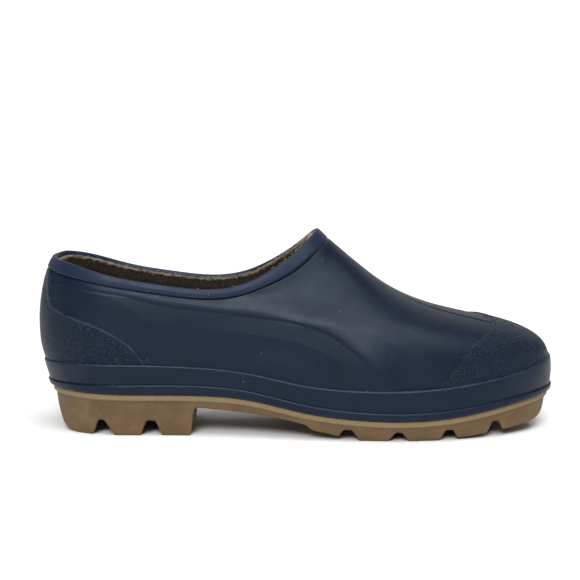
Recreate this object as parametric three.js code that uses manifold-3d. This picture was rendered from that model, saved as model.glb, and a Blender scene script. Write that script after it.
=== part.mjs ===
// A rubber garden clog for the right foot, in millimetres: +X runs to the toe, +Y to the inner side, +Z up.
// Every layer of the upper is an offset of one surface, S(s, t). s goes once round the shoe, from the middle
// of the heel (0) along the outer side to the toe (0.5) and back along the inner side. t climbs from the
// edge of the sole (0) to the collar (1).
import * as THREE from 'three';
import { mergeVertices } from 'three/addons/utils/BufferGeometryUtils.js';
import Module from 'manifold-3d';

const wasm = await Module();
wasm.setup();

// ---------- driving dimensions ----------

const STATIONS = 56; // vertices round the shoe
const GAP = 0.3; // between pieces that are glued together

const UPPER_WALL = 2.2;
const OVERLAY_WALL = 1.0; // toe cap, heel counter and side panels
const OVERLAY_SEAM = 0.6; // between the heel counter and the side panels
const OVERLAY_REVEAL = 0.8; // between the foxing and the overlays, which lean out at the heel
const STIFFENER_WALL = 0.9;
const LINING_WALL = 1.2;
const COLLAR_WALL = 1.2;
const COLLAR_TUCK = 5; // how far the collar binding turns down inside
const LINING_DROP = 0.6; // the lining's edge, below the topline
const FOXING_WALL = 1.9;
const WELT_WALL = 2.9;
const LASTING_MARGIN = 14; // the upper's edge, turned in under the foot

const SOLE_OVERHANG = 1.2; // the outsole's lip, outside the edge of the upper
const SOLE_LIP = 3.2;
const SOLE_LIP_SLOPE = 0.8; // the underside of the lip climbs by this on its way out
const SOLE_SIDE_INSET = 0.4;
const SOLE_DRAFT = 2.4; // how far the side of the sole leans in on its way to the ground
const TOE_DRAFT = 0.6; // the same at the tip of the toe
const HEEL_BREAST_X = -57;
const HEEL_NOTCH_DEPTH = 8.5;

const BOARD = 2.2; // insole board
const FOOTBED = 4.5;
const FOOTBED_INSET = 6.0;
const FOOTBED_HEEL_HALF_WIDTH = 27;
const FLEX_X = 5; // where the footbed bends when its heel is lifted
const SHANK = { rear: -88, front: 18, halfWidth: 9, bottom: 0.6, thickness: 1.4 };
const HEEL_CORE = { rear: -118, front: -68, halfWidth: 19, bottom: 12.5 };

const TOE_SHIFT = 4; // the toe's tip leans to the inner side
const MEDIAL_RISE = 0.9; // the collar stands a little higher under the ankle on the inner side
const SIDES = { outer: -1, inner: 1 };
const BELOW = -5; // safely under the ground
const ABOVE = 130; // safely over the collar
const BESIDE = 80; // safely outside either side

// ---------- curves ----------

// A natural cubic spline through [x, y] points, as a function of x, straight beyond its ends.
function smooth(points) {
  const n = points.length;
  const x = points.map((p) => p[0]);
  const y = points.map((p) => p[1]);
  const bend = new Array(n).fill(0);
  const ratio = new Array(n).fill(0);
  for (let i = 1; i < n - 1; i++) {
    const share = (x[i] - x[i - 1]) / (x[i + 1] - x[i - 1]);
    const pivot = share * ratio[i - 1] + 2;
    const kink = (y[i + 1] - y[i]) / (x[i + 1] - x[i]) - (y[i] - y[i - 1]) / (x[i] - x[i - 1]);
    ratio[i] = (share - 1) / pivot;
    bend[i] = ((6 * kink) / (x[i + 1] - x[i - 1]) - share * bend[i - 1]) / pivot;
  }
  for (let i = n - 2; i > 0; i--) bend[i] += ratio[i] * bend[i + 1];
  bend[n - 1] = 0;
  const inSpan = (at, i) => {
    const h = x[i + 1] - x[i];
    const a = (x[i + 1] - at) / h;
    const b = (at - x[i]) / h;
    return a * y[i] + b * y[i + 1] + (((a ** 3 - a) * bend[i] + (b ** 3 - b) * bend[i + 1]) * h * h) / 6;
  };
  const step = 1e-3;
  return (at) => {
    if (at < x[0]) return y[0] + ((inSpan(x[0] + step, 0) - y[0]) / step) * (at - x[0]);
    if (at > x[n - 1]) return y[n - 1] + ((y[n - 1] - inSpan(x[n - 1] - step, n - 2)) / step) * (at - x[n - 1]);
    let i = 0;
    while (i < n - 2 && at > x[i + 1]) i++;
    return inSpan(at, i);
  };
}

const mix = (a, b, k) => a + (b - a) * k;
const clamp = THREE.MathUtils.clamp;
const ease = THREE.MathUtils.smoothstep;

// Heights along the shoe, side view.
const soleLine = smooth([
  [-140, 25.3], [-95, 23.8], [-52, 23.5], [-25, 21.6], [6, 15.5], [35, 12.4], [56, 11.7], [92, 13.9], [131, 20.1], [146, 22],
]);
const weltHeight = smooth([[-140, 3.2], [-118, 4.6], [0, 4.8], [100, 4.2], [145, 3.3]]);
const foxingHeight = smooth([[-142, 14.4], [-110, 16.8], [-25, 15.2], [60, 17], [110, 17], [130, 17.4], [145, 20]]);
const collarLine = smooth([
  [-140, 96.8], [-127, 95], [-104, 88.9], [-71, 82.8], [-45, 80.8], [-25, 84.7], [-9, 93], [4, 102.6], [13, 111.2],
  [30, 124], [60, 131], [146, 138],
]);
const bandDepth = smooth([
  [-140, 5.6], [-126, 5.9], [-109, 4.8], [-91, 3.9], [-52, 3.7], [-33, 3.9], [-16, 5], [0, 7.3], [13, 8.8], [40, 8.8],
]);
const weltTop = (x) => soleLine(x) + weltHeight(x);
const foxingTop = (x) => soleLine(x) + foxingHeight(x);

// The middle line of the heel and of the vamp, bottom to top, as [x, z].
const HEEL_PROFILE = [
  [-135.3, 22], [-137.6, 30], [-140.2, 39], [-142.6, 47], [-143.6, 56], [-143.6, 66], [-142.5, 76], [-140.9, 84],
  [-138.6, 91], [-135.4, 97.4],
];
const TOE_PROFILE = [
  [144, 20], [145, 30], [144.8, 37], [143, 44.1], [138.4, 50], [130, 55.4], [118, 59.5], [100, 64.2], [82, 68.6],
  [65, 74.6], [48, 83.6], [31, 96.2], [20, 106], [13, 111.6],
];

// Half-widths [outer side, inner side] at five heights, t = 0, 1/4, 1/2, 3/4 and 1, along the shoe.
const WIDTH_X = [-140, -100, -50, 0, 50, 100, 145];
const OUTER_WIDTHS = [
  [32, 34.5, 35.5, 43, 50, 48.5, 45],
  [34, 36.5, 37, 43.5, 49.5, 48, 45],
  [34.5, 37, 37, 40, 44, 44, 42],
  [33.5, 35.5, 35.5, 36, 38, 38, 38],
  [32, 33, 33.5, 33, 34, 34, 34],
];
const INNER_WIDTHS = [
  [32, 33, 29.5, 35, 44.5, 45, 42],
  [34, 35.5, 32.5, 37, 45, 45, 42],
  [34.5, 36, 34, 37, 41, 41, 40],
  [33.5, 35, 34, 35, 37, 37, 37],
  [32, 33, 33, 33, 34, 34, 34],
];
const HEEL_ROUND = 44; // length over which the plan rounds off behind
const TOE_ROUND = 78; // and in front, at the sole
const THROAT_ROUND = 46; // and in front, at the collar
const ROUND_POWER = 2.2;

const widthCurves = [OUTER_WIDTHS, INNER_WIDTHS].map((rows) =>
  rows.map((row) => smooth(row.map((w, i) => [WIDTH_X[i], w]))),
);

// Catmull-Rom through five evenly spaced values.
function throughRows(values, t) {
  const k = clamp(t, 0, 1) * 4;
  const i = Math.min(3, Math.floor(k));
  const f = k - i;
  const v = (j) => values[clamp(j, 0, 4)];
  const a = v(i - 1);
  const [b, c, d] = [v(i), v(i + 1), v(i + 2)];
  return 0.5 * (2 * b + (c - a) * f + (2 * a - 5 * b + 4 * c - d) * f * f + (3 * b - a - 3 * c + d) * f ** 3);
}

function collarHeight(x, side) {
  const along = clamp((x + 140) / 148, 0, 1);
  return collarLine(x) + (side > 0 ? MEDIAL_RISE * Math.sin(Math.PI * along) ** 2 : 0);
}

// ---------- the surface of the upper ----------

// x where the middle line of the heel or of the vamp stands at level t.
function profileCrossing(profile) {
  const along = (k) => profile.map((p, i) => [i, p[k]]);
  const [xAt, zAt] = [smooth(along(0)), smooth(along(1))];
  return (t) => {
    let [low, high] = [0, profile.length - 1];
    for (let step = 0; step < 30; step++) {
      const u = (low + high) / 2;
      const x = xAt(u);
      const level = (zAt(u) - soleLine(x)) / (collarLine(x) - soleLine(x));
      if (level < t) low = u;
      else high = u;
    }
    return xAt(low);
  };
}
const heelX = profileCrossing(HEEL_PROFILE);
const toeX = profileCrossing(TOE_PROFILE);

const rounded = (u) => (1 - clamp(u, 0, 1) ** ROUND_POWER) ** (1 / ROUND_POWER);

function surface(s, t) {
  const turn = s - Math.floor(s);
  const side = turn > 0 && turn < 0.5 ? SIDES.outer : SIDES.inner;
  const [rear, front] = [heelX(t), toeX(t)];
  const x = mix(rear, front, (1 - Math.cos(2 * Math.PI * turn)) / 2);
  const rows = widthCurves[side < 0 ? 0 : 1].map((curve) => curve(x));
  const frontRound = mix(TOE_ROUND, THROAT_ROUND, clamp(t, 0, 1));
  const halfWidth =
    throughRows(rows, t) *
    rounded((rear + HEEL_ROUND - x) / HEEL_ROUND) *
    rounded((x - front + frontRound) / frontRound);
  const z = mix(soleLine(x), collarHeight(x, side), t);
  return new THREE.Vector3(x, side * halfWidth + TOE_SHIFT * ease(x, 40, 145), z);
}

const NUDGE = 1e-3;

// The outward normal at (s, t), and the direction that climbs to the collar.
function frameAt(s, t) {
  const along = surface(s + NUDGE, t).sub(surface(s - NUDGE, t));
  const up = surface(s, Math.min(1, t + NUDGE)).sub(surface(s, Math.max(0, t - NUDGE)));
  return { normal: along.cross(up).normalize(), up: up.normalize() };
}

function offsetPoint(s, t, out, climb = 0) {
  const { normal, up } = frameAt(s, t);
  return surface(s, t).addScaledVector(normal, out).addScaledVector(up, climb);
}

// The same, pushed straight out level with the ground.
function levelOffset(s, t, out) {
  return surface(s, t).addScaledVector(frameAt(s, t).normal.setZ(0).normalize(), out);
}

// A point level with the sole's edge, pushed out (or in) across the ground plane, at a height above soleLine.
function planPoint(s, out, height) {
  const { normal } = frameAt(s, 0);
  const p = surface(s, 0).addScaledVector(normal.setZ(0).normalize(), out);
  return p.setZ(soleLine(p.x) + height);
}

// The t at which the surface, at s, has the height that heightAt(x) gives.
function levelOf(s, heightAt) {
  let t = 0.2;
  for (let step = 0; step < 8; step++) {
    const { x } = surface(s, t);
    const side = s > 0.5 ? SIDES.inner : SIDES.outer;
    t = clamp((heightAt(x) - soleLine(x)) / (collarHeight(x, side) - soleLine(x)), 0, 1);
  }
  return t;
}

const foxingLevel = (s) => levelOf(s, foxingTop);
const weltLevel = (s) => levelOf(s, weltTop);
const bandLevel = (s) => levelOf(s, (x) => collarHeight(x, s > 0.5 ? SIDES.inner : SIDES.outer) - bandDepth(x));
const belowTopline = (drop) => (s) =>
  levelOf(s, (x) => collarHeight(x, s > 0.5 ? SIDES.inner : SIDES.outer) - drop);
const aboveSole = (height) => (s) => levelOf(s, (x) => soleLine(x) + height);

// Rows of levels from the foxing's top to the collar binding, shared by every layer of the upper.
const WALL_ROWS = 8;
const wallRow = (k) => (s) => mix(foxingLevel(s), bandLevel(s), k / WALL_ROWS);
const wallRows = Array.from({ length: WALL_ROWS + 1 }, (_, k) => wallRow(k));

// ---------- solids ----------

const loop = (pointAt) => Array.from({ length: STATIONS }, (_, j) => pointAt(j / STATIONS));
const layerLoop = (level, out, climb) => loop((s) => offsetPoint(s, level(s), out, climb));
const planLoop = (out, height) => loop((s) => planPoint(s, out, height));

function geometryFrom(points, triangles) {
  const geometry = new THREE.BufferGeometry().setFromPoints(points);
  geometry.setIndex(triangles.flat());
  return geometry;
}

// Triangles between neighbouring loops. Each quad is split from its lower to its upper end, whichever way
// the loops run, so that two layers that face each other are split alike.
function bands(loops, closed) {
  const triangles = [];
  const last = closed ? loops.length : loops.length - 1;
  for (let i = 0; i < last; i++) {
    const above = (i + 1) % loops.length;
    const rising = loops[above][0].z > loops[i][0].z;
    for (let j = 0; j < STATIONS; j++) {
      const next = (j + 1) % STATIONS;
      const [a, b] = [i * STATIONS + j, i * STATIONS + next];
      const [c, d] = [above * STATIONS + j, above * STATIONS + next];
      if (rising) triangles.push([a, b, d], [a, d, c]);
      else triangles.push([a, b, c], [b, d, c]);
    }
  }
  return triangles;
}

// A ring-shaped solid: its loops go once round its section, starting up the outside.
const ringSolid = (loops) => geometryFrom(loops.flat(), bands(loops, true));

// Triangles that close a loop straight across the shoe, between the two sides.
function cap(first, facingUp) {
  const triangles = [];
  for (let j = 0; j < STATIONS / 2; j++) {
    const mirror = (k) => (STATIONS - k) % STATIONS;
    const [a, b, c, d] = [j, j + 1, mirror(j + 1), mirror(j)].map((k) => first + k);
    if (a !== d) triangles.push(facingUp ? [a, b, d] : [a, d, b]);
    if (b !== c) triangles.push(facingUp ? [b, c, d] : [b, d, c]);
  }
  return triangles;
}

// A solid from loops stacked bottom to top, closed at both ends.
function stackSolid(loops) {
  const top = (loops.length - 1) * STATIONS;
  return geometryFrom(loops.flat(), [...bands(loops, false), ...cap(0, false), ...cap(top, true)]);
}

// A plate that follows the sole between two heights above its edge line.
const plate = (inset, low, high) => stackSolid([planLoop(-inset, low), planLoop(-inset, high)]);

function toManifold(geometry) {
  const bare = geometry.clone();
  bare.deleteAttribute('normal');
  bare.deleteAttribute('uv');
  const merged = mergeVertices(bare, 1e-3);
  return new wasm.Manifold(
    new wasm.Mesh({
      numProp: 3,
      vertProperties: merged.attributes.position.array,
      triVerts: new Uint32Array(merged.index.array),
    }),
  );
}

function toGeometry(solid) {
  const mesh = solid.getMesh();
  const geometry = new THREE.BufferGeometry();
  geometry.setAttribute('position', new THREE.BufferAttribute(new Float32Array(mesh.vertProperties), 3));
  geometry.setIndex(new THREE.BufferAttribute(new Uint32Array(mesh.triVerts), 1));
  return geometry;
}

// A side-view outline in [x, z], extruded across the shoe between two y values.
function prism(outline, yFrom = -BESIDE, yTo = BESIDE) {
  return toManifold(extruded(outline, yTo - yFrom).rotateX(Math.PI / 2).translate(0, yTo, 0));
}

// An outline seen from above, in [x, y], from the ground to above the collar.
const column = (outline) => toManifold(extruded(outline, ABOVE));

function extruded(outline, depth) {
  const shape = new THREE.Shape(outline.map(([u, v]) => new THREE.Vector2(u, v)));
  return new THREE.ExtrudeGeometry(shape, { depth, bevelEnabled: false });
}

function box(xFrom, xTo, yFrom, yTo, zFrom, zTo) {
  const geometry = new THREE.BoxGeometry(xTo - xFrom, yTo - yFrom, zTo - zFrom);
  return toManifold(geometry.translate((xFrom + xTo) / 2, (yFrom + yTo) / 2, (zFrom + zTo) / 2));
}

// A smooth open line through [x, z] points, as a list of points.
function traced(points, count) {
  const curve = new THREE.SplineCurve(points.map(([x, z]) => new THREE.Vector2(x, z)));
  return curve.getPoints(count).map((p) => [p.x, p.y]);
}

// ---------- outlines of the overlays, side view ----------

const CAP_SIDE_EDGE = traced([[72, 18], [78.5, 30.2], [85.8, 38.5], [93.8, 48], [102.6, 55.4]], 8);
const COUNTER_EDGE = traced(
  [[-78, 34], [-82, 42], [-89, 51], [-96, 56.2], [-107, 62], [-119, 66], [-131, 70.2], [-135, 74], [-136, 80], [-134.5, 105]],
  18,
);
const PANEL_EDGE = traced(
  [[-142, 84], [-127, 83.4], [-99, 79.8], [-63, 74], [-18, 68.8], [3, 65.6], [20, 60.2], [31, 52.8], [41, 44.5], [46, 36.5], [51, 20]],
  20,
);

// Seen from above, the toe cap's edge is an arch over the instep, drawn out a little on the inner side.
const CAP_TIP = { x: 112.2, y: -11 };
const CAP_INNER_STRETCH = 0.7;
const capArch = (y) => {
  const away = y < CAP_TIP.y ? CAP_TIP.y - y : (y - CAP_TIP.y) * CAP_INNER_STRETCH;
  return CAP_TIP.x - 0.0212 * away ** 1.95;
};

// ---------- pieces ----------

function overlaySkin() {
  const rows = [aboveFoxing, ...wallRows.slice(1, WALL_ROWS), belowBand];
  const outside = rows.map((row) => layerLoop(row, GAP + OVERLAY_WALL));
  const inside = rows.map((row) => layerLoop(row, GAP)).reverse();
  return toManifold(ringSolid([...outside, ...inside]));
}
const aboveFoxing = (s) => levelOf(s, (x) => foxingTop(x) + OVERLAY_REVEAL);
const belowBand = (s) =>
  levelOf(s, (x) => collarHeight(x, s > 0.5 ? SIDES.inner : SIDES.outer) - bandDepth(x) - GAP);

function upperShell() {
  const rows = [aboveSole(GAP), weltLevel, ...wallRows, () => 1];
  const floor = GAP + UPPER_WALL;
  const outside = rows.map((row) => layerLoop(row, 0));
  const inside = rows.slice(1).map((row) => layerLoop(row, -UPPER_WALL)).reverse();
  const margin = [planLoop(-UPPER_WALL, floor), planLoop(-LASTING_MARGIN, floor), planLoop(-LASTING_MARGIN, GAP)];
  return ringSolid([...outside, ...inside, ...margin]);
}

function lining() {
  const out = -(UPPER_WALL + 2 * GAP + STIFFENER_WALL);
  const rows = [aboveSole(2 * GAP + UPPER_WALL), ...wallRows, belowTopline(LINING_DROP)];
  const outside = rows.map((row) => layerLoop(row, out));
  const inside = rows.map((row) => layerLoop(row, out - LINING_WALL)).reverse();
  return ringSolid([...outside, ...inside]);
}

function stiffenerLayer() {
  const rows = [aboveSole(3 * GAP + UPPER_WALL), ...wallRows.slice(0, WALL_ROWS)];
  const outside = rows.map((row) => layerLoop(row, -(UPPER_WALL + GAP)));
  const inside = rows.map((row) => layerLoop(row, -(UPPER_WALL + GAP + STIFFENER_WALL))).reverse();
  return toManifold(ringSolid([...outside, ...inside]));
}

function collarBand() {
  const outer = GAP + COLLAR_WALL;
  const innerFace = -(UPPER_WALL + GAP);
  const inner = innerFace - STIFFENER_WALL;
  const edge = () => 1;
  const tuck = belowTopline(COLLAR_TUCK);
  return ringSolid([
    layerLoop(bandLevel, outer),
    layerLoop(edge, outer, outer),
    layerLoop(edge, inner, outer),
    layerLoop(tuck, inner),
    layerLoop(tuck, innerFace),
    layerLoop(edge, innerFace, GAP),
    layerLoop(edge, GAP, GAP),
    layerLoop(bandLevel, GAP),
  ]);
}

// A strip round the outside of the upper, between two levels.
function strip(low, high, wall) {
  const corner = (level, out) => loop((s) => levelOffset(s, level(s), out));
  return ringSolid([corner(low, GAP + wall), corner(high, GAP + wall), corner(high, GAP), corner(low, GAP)]);
}

const NOTCHES = [
  { x: -106, mouth: 11, roof: 4.6, top: HEEL_NOTCH_DEPTH },
  { x: -79.5, mouth: 11.5, roof: 5.4, top: HEEL_NOTCH_DEPTH },
  { x: 29.4, mouth: 13.2, roof: 4.4, top: 6.1 },
  { x: 57.2, mouth: 11.6, roof: 3.2, top: 5.0 },
  { x: 85.1, mouth: 10.4, roof: 4.4, top: 5.8 },
  { x: 111.4, mouth: 12, roof: 3.4, top: 9.2 },
];

const notchOutline = ({ x, mouth, roof, top }) => [
  [x - mouth / 2, BELOW], [x + mouth / 2, BELOW], [x + mouth / 2, 0], [x + roof / 2, top], [x - roof / 2, top], [x - mouth / 2, 0],
];
const HEEL_TAIL = [
  [-160, BELOW], [-120, BELOW], [-122, 0], [-127, 0.9], [-130.2, 3.2], [-132.8, 9], [-135.6, 17], [-160, 17],
];
const WAIST_GAP = [
  [HEEL_BREAST_X, BELOW], [HEEL_BREAST_X, 0], [-56.2, 14.4], [-54.5, 16.1], [-25, 13.7], [-3, 10.3], [6.5, 8], [9.5, 5.2],
  [24, 2.4], [36.5, 0], [38, BELOW],
];
const TOE_SPRING = [
  [64, BELOW], [66, 0], [80, 0.4], [97, 1.5], [106, 2.5], [118, 4], [128, 5.3], [135, 6.4], [138.5, 7.6], [141, 10.2],
  [143, 15.5], [150, 18], [160, BELOW],
];

function outsole() {
  const side = -SOLE_SIDE_INSET;
  const draft = (x) => mix(SOLE_DRAFT, TOE_DRAFT, ease(x, 85, 135));
  const ground = loop((s) => planPoint(s, side - draft(surface(s, 0).x), 0).setZ(0));
  let solid = toManifold(
    stackSolid([
      ground,
      planLoop(side, -SOLE_LIP - SOLE_LIP_SLOPE),
      planLoop(SOLE_OVERHANG, -SOLE_LIP),
      planLoop(SOLE_OVERHANG, 0),
    ]),
  );
  for (const outline of [HEEL_TAIL, WAIST_GAP, TOE_SPRING, ...NOTCHES.map(notchOutline)]) {
    solid = solid.subtract(prism(outline));
  }
  const { rear, front, halfWidth, bottom } = HEEL_CORE;
  return toGeometry(
    solid.subtract(box(rear - GAP, front + GAP, -halfWidth - GAP, halfWidth + GAP, bottom - GAP, ABOVE)),
  );
}

function heelCore() {
  const { rear, front, halfWidth, bottom } = HEEL_CORE;
  return toGeometry(box(rear, front, -halfWidth, halfWidth, bottom, soleLine(front) - GAP));
}

const FILLER_TOP = GAP + UPPER_WALL;

function soleFiller() {
  const { rear, front, halfWidth } = SHANK;
  const slot = box(rear - GAP, front + GAP, -halfWidth - GAP, halfWidth + GAP, 0, ABOVE);
  return toGeometry(toManifold(plate(LASTING_MARGIN + GAP, GAP, FILLER_TOP)).subtract(slot));
}

function shank() {
  const { rear, front, halfWidth, bottom, thickness } = SHANK;
  const layer = toManifold(plate(LASTING_MARGIN + GAP, bottom, bottom + thickness));
  return toGeometry(layer.intersect(box(rear, front, -halfWidth, halfWidth, 0, ABOVE)));
}

// The loose footbed's outline is eased in where the heel has to pass the collar.
function footbedLoop(height) {
  return loop((s) => {
    const p = planPoint(s, -FOOTBED_INSET, height);
    const limit = mix(FOOTBED_HEEL_HALF_WIDTH, BESIDE, ease(p.x, -45, 60));
    return p.setY(clamp(p.y, -limit, limit));
  });
}
const footbedLow = FILLER_TOP + GAP + BOARD + GAP;
const footbed = toManifold(stackSolid([footbedLoop(footbedLow), footbedLoop(footbedLow + FOOTBED)]));

function footbedPart(xFrom, xTo) {
  return toGeometry(footbed.intersect(box(xFrom, xTo, -BESIDE, BESIDE, 0, ABOVE)));
}

const skin = overlaySkin();
const stiffeners = stiffenerLayer();
const REAR = -170; // behind the heel
const FRONT = 170; // ahead of the toe
const behindCounterEdge = (edge) => [...edge, [REAR, 105], [REAR, 34]];

function sidePanel(side) {
  const half = side < 0 ? [-BESIDE, -GAP] : [GAP, BESIDE];
  const below = prism([...PANEL_EDGE, [-142, 20]], ...half);
  const seam = COUNTER_EDGE.map(([x, z]) => [x + OVERLAY_SEAM, z + OVERLAY_SEAM]);
  return toGeometry(skin.intersect(below).subtract(prism(behindCounterEdge(seam))));
}

function toeCap() {
  const onTheSides = prism([...CAP_SIDE_EDGE, [FRONT, 56], [FRONT, 18]]);
  const steps = Array.from({ length: 33 }, (_, k) => -64 + 4 * k);
  const onTop = column([...steps.map((y) => [capArch(y), y]), [FRONT, 64], [FRONT, -64]]);
  return toGeometry(skin.intersect(onTop.add(onTheSides)));
}

const heelCounter = () => toGeometry(skin.intersect(prism(behindCounterEdge(COUNTER_EDGE))));
const toePuff = () => toGeometry(stiffeners.intersect(prism([[92, 10], [108, 80], [FRONT, 80], [FRONT, 10]])));
const heelStiffener = () =>
  toGeometry(stiffeners.intersect(prism([[-80, 10], [-90, 56], [-118, 74], [REAR, 76], [REAR, 10]])));

// ---------- materials and assembly ----------

const MATERIALS = {
  navy_rubber: { color: 0x27334b, roughness: 0.5, metalness: 0 },
  tan_rubber: { color: 0x8f7553, roughness: 0.6, metalness: 0 },
  lining: { color: 0x2b2219, roughness: 0.95, metalness: 0 },
  board: { color: 0x9a7d58, roughness: 0.9, metalness: 0 },
  filler: { color: 0x6d6a62, roughness: 0.95, metalness: 0 },
  steel: { color: 0x8d9094, roughness: 0.35, metalness: 1 },
  footbed: { color: 0x2a2622, roughness: 0.95, metalness: 0 },
};

const clog = new THREE.Group();

function addPiece(name, geometry, material) {
  const mesh = new THREE.Mesh(geometry, new THREE.MeshStandardMaterial(MATERIALS[material]));
  mesh.name = name;
  geometry.computeVertexNormals();
  clog.add(mesh);
}

addPiece('outsole', outsole(), 'tan_rubber');
addPiece('heel_core', heelCore(), 'filler');
addPiece('sole_filler', soleFiller(), 'filler');
addPiece('shank', shank(), 'steel');
addPiece('insole_board', plate(FOOTBED_INSET - 0.4, FILLER_TOP + GAP, FILLER_TOP + GAP + BOARD), 'board');
addPiece('upper_shell', upperShell(), 'navy_rubber');
addPiece('lining', lining(), 'lining');
addPiece('toe_puff', toePuff(), 'board');
addPiece('heel_stiffener', heelStiffener(), 'board');
addPiece('toe_cap', toeCap(), 'navy_rubber');
addPiece('heel_counter', heelCounter(), 'navy_rubber');
addPiece('side_panel_outer', sidePanel(SIDES.outer), 'navy_rubber');
addPiece('side_panel_inner', sidePanel(SIDES.inner), 'navy_rubber');
addPiece('collar_band', collarBand(), 'navy_rubber');
addPiece('foxing_band', strip((s) => levelOf(s, (x) => weltTop(x) + GAP), foxingLevel, FOXING_WALL), 'navy_rubber');
addPiece('welt_strip', strip(aboveSole(GAP), weltLevel, WELT_WALL), 'navy_rubber');
addPiece('footbed_front', footbedPart(FLEX_X + GAP / 2, 170), 'footbed');
addPiece('footbed_heel', footbedPart(-170, FLEX_X - GAP / 2), 'footbed');

// The origin is on the ground, under the middle of the whole shoe.
const middle = new THREE.Box3().setFromObject(clog).getCenter(new THREE.Vector3());
clog.position.set(-middle.x, -middle.y, 0);

export default clog;
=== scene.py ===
import math

import bpy
import numpy as np
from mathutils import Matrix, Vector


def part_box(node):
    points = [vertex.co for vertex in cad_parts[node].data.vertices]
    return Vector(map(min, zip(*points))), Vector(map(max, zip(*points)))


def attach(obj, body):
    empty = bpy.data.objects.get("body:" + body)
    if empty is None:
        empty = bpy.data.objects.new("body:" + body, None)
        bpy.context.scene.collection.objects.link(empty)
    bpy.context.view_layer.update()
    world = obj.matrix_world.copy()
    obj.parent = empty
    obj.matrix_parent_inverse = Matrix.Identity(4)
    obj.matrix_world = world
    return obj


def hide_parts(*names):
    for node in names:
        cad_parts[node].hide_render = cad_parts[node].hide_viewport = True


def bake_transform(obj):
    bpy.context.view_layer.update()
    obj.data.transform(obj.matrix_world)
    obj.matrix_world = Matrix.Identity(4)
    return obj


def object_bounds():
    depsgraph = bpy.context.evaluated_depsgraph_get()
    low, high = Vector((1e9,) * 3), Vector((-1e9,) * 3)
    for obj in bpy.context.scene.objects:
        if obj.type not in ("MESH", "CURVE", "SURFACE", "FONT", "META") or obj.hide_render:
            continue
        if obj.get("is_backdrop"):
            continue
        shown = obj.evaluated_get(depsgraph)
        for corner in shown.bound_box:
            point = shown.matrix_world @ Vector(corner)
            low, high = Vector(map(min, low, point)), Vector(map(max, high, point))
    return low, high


# A rubber garden clog for the right foot. Shapes are worked out in millimetres in the CAD part's design
# frame (+X to the toe, +Y to the inner side, +Z up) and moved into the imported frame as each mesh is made.
# surface(s, t) is the face of the upper: s goes once round the shoe from the heel (0) along the outer side
# to the toe (0.5) and back, and t climbs from the edge of the sole (0) to the collar (1).

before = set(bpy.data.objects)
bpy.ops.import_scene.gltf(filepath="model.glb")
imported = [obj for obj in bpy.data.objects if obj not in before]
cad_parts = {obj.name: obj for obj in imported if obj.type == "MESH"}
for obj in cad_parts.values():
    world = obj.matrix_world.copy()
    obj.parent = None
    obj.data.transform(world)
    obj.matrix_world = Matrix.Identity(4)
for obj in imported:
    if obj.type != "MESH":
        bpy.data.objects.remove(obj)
cad_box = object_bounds()

MM = 0.001

# The steel shank is an exact box in the design frame, so it shows where that frame lies.
SHANK_MIDDLE_X = -35
shank_low, shank_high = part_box("shank")
shank_middle = (shank_low + shank_high) / 2 / MM
SHIFT = np.array([shank_middle.x - SHANK_MIDDLE_X, shank_middle.y, 0])

GAP = 0.3
UPPER_WALL = 2.2
OVERLAY_HEIGHT = 1.3  # outer face of the toe cap, heel counter and side panels, off the upper
OVERLAY_ROOT = -1.0  # how deep their edges are sunk in the upper
LINING_FACES = (-3.7, -4.9)
LINING_DROP = 0.6  # the lining's edge, below the topline
LINING_BEND = 5.5  # how far below its edge it starts to flare out, from the heel stiffener to the thin rim
LINING_FLARE = 1.9
LINING_RISE = 1.2  # how much nearer the rim's top its edge lies at the throat
COLLAR_OUTER = 1.5  # the binding's faces, off the upper, and how far it reaches down inside the rim
COLLAR_INNER = -1.6
COLLAR_TUCK = 2.5
OVERLAY_TUCK = 1.6  # how far the overlays reach down behind the foxing
FOXING_OUT = 2.2
FOXING_ROUND = 1.05  # radius of its top edge
WELT_OUT = 3.2
WELT_ROUND = 1.1
LASTING_MARGIN = 14  # width of the upper's edge where it is turned in under the foot

SOLE_OVERHANG = 1.2
SOLE_LIP = 3.2
SOLE_LIP_SLOPE = 0.8
SOLE_SIDE = -0.4
SOLE_DRAFT = 2.4  # how far the sides lean in from the lip to the ground, at the heel and at the toe
TOE_DRAFT = 0.6
SOLE_CORNER = 1.4  # radius where the sides meet the tread
HEEL_CORE = {"rear": -118, "front": -68, "half_width": 19, "bottom": 12.5}

FOOTBED_LOW = 5.3
FOOTBED_HIGH = 9.8
FOOTBED_INSET = 6
FOOTBED_HEEL_HALF_WIDTH = 27
FOOTBED_EDGE_ROUND = 2.02
FOOTBED_COLUMNS = np.linspace(0, 1, 28)[1:-1]  # shares of the way across, between its edges

TOE_SHIFT = 4  # how far the toe end leans to the inner side
COLLAR_REAR_X, COLLAR_FRONT_X = -140, 8
MEDIAL_RISE = 0.9  # how much the inner side of the collar stands above the outer, in the middle
INNER_HEEL_RISE = 1.3  # and how far each side of it is from collar_line at the heel
OUTER_HEEL_DROP = 0.5


# ---------- curves ----------


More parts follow.
